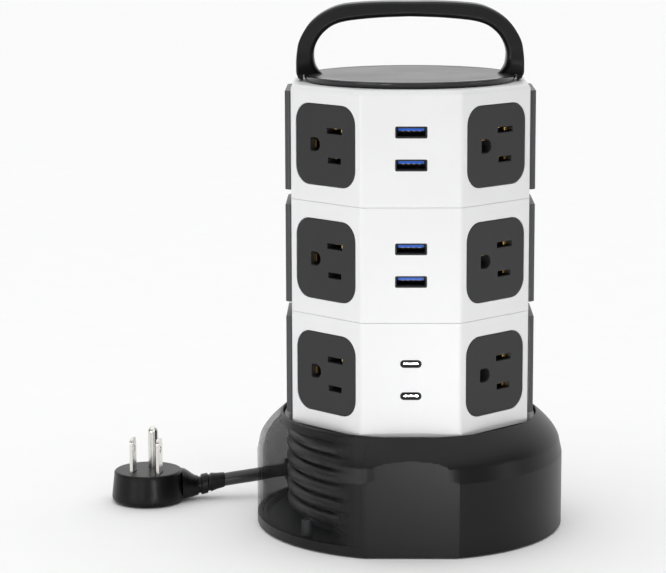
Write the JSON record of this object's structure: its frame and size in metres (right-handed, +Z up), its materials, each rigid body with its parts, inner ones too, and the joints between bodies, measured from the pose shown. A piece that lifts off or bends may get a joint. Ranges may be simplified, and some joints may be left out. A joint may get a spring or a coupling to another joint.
{
  "type": "tower power strip",
  "caption": "Upright faceted power tower with sockets, USB ports and a carrying arch, turning on a round base that winds up its mains lead, which ends in a flat round plug.",
  "frame": {"origin": "on the tower's axis at the floor", "axes": "+Z up along the tower's axis, -Y towards the USB ports, +X to the viewer's right"},
  "size_m": [0.2079, 0.1314, 0.2346],
  "materials": {
    "white_housing": "fine satin moulding",
    "dark_grey_plate": "fine matt moulding",
    "port_black": "satin",
    "grey_cap": "satin top, polished rim",
    "handle_black": "satin",
    "base_black": "semi-gloss",
    "inner_black": "satin",
    "smoked_window": "polished, see-through",
    "soft_rubber": "matt",
    "cord_jacket": "satin jacket",
    "plug_black": "satin, moulded",
    "nickel_prong": "plated",
    "zinc_steel": "plated",
    "brass_bar": "rolled strip",
    "circuit_board": "lacquered",
    "amber_lens": "clear tinted",
    "red_control": "polished"
  },
  "bodies": {
    "base": {"base_plate": "inner_black", "base_cover": "base_black", "cord_window": "smoked_window", "cord_grommet": "soft_rubber", "foot_1": "soft_rubber", "foot_2": "soft_rubber", "foot_3": "soft_rubber", "foot_4": "soft_rubber", "base_screw_1": "zinc_steel", "base_screw_2": "zinc_steel", "base_screw_3": "zinc_steel", "pivot_retainer": "zinc_steel", "cord_winding": "cord_jacket", "cord_lead": "cord_jacket", "strain_relief": "cord_jacket", "plug_body": "plug_black", "line_blade": "nickel_prong", "neutral_blade": "nickel_prong", "ground_pin": "nickel_prong"},
    "tower": {"cord_reel": "inner_black", "reel_flange": "grey_cap", "upper_housing": "white_housing", "middle_housing": "white_housing", "lower_housing": "white_housing", "upper_plate_front_left": "dark_grey_plate", "upper_plate_front_right": "dark_grey_plate", "upper_plate_back_right": "dark_grey_plate", "upper_plate_back_left": "dark_grey_plate", "middle_plate_front_left": "dark_grey_plate", "middle_plate_front_right": "dark_grey_plate", "middle_plate_back_right": "dark_grey_plate", "middle_plate_back_left": "dark_grey_plate", "lower_plate_front_left": "dark_grey_plate", "lower_plate_front_right": "dark_grey_plate", "lower_plate_back_right": "dark_grey_plate", "lower_plate_back_left": "dark_grey_plate", "upper_panel_right": "dark_grey_plate", "upper_panel_left": "dark_grey_plate", "middle_panel_right": "dark_grey_plate", "middle_panel_left": "dark_grey_plate", "lower_panel_right": "dark_grey_plate", "lower_panel_left": "dark_grey_plate", "usb_a_port_1": "port_black", "usb_a_port_2": "port_black", "usb_a_port_3": "port_black", "usb_a_port_4": "port_black", "usb_c_port_1": "port_black", "usb_c_port_2": "port_black", "lid": "grey_cap", "handle": "handle_black", "line_busbar": "brass_bar", "neutral_busbar": "brass_bar", "ground_busbar": "brass_bar", "usb_board": "circuit_board", "switch_housing": "port_black", "circuit_breaker": "port_black", "indicator_lens": "amber_lens"},
    "power_rocker": {"power_rocker": "red_control"},
    "reset_button": {"reset_button": "red_control"}
  },
  "joints": [
    {"name": "tower_turn", "type": "hinge", "parent": "base", "child": "tower", "pos_m": [0, 0, 0.05], "axis": [0, 0, 1], "continuous": true},
    {"name": "power_rocker_tilt", "type": "hinge", "parent": "tower", "child": "power_rocker", "pos_m": [0, 0.0496, 0.1752], "axis": [1, 0, 0], "range_deg": [0, 16]},
    {"name": "reset_button_press", "type": "slide", "parent": "tower", "child": "reset_button", "axis": [0, -1, 0], "range_m": [0, 0.002], "stiffness_N_per_m": 400, "springref_m": -0.001}
  ]
}
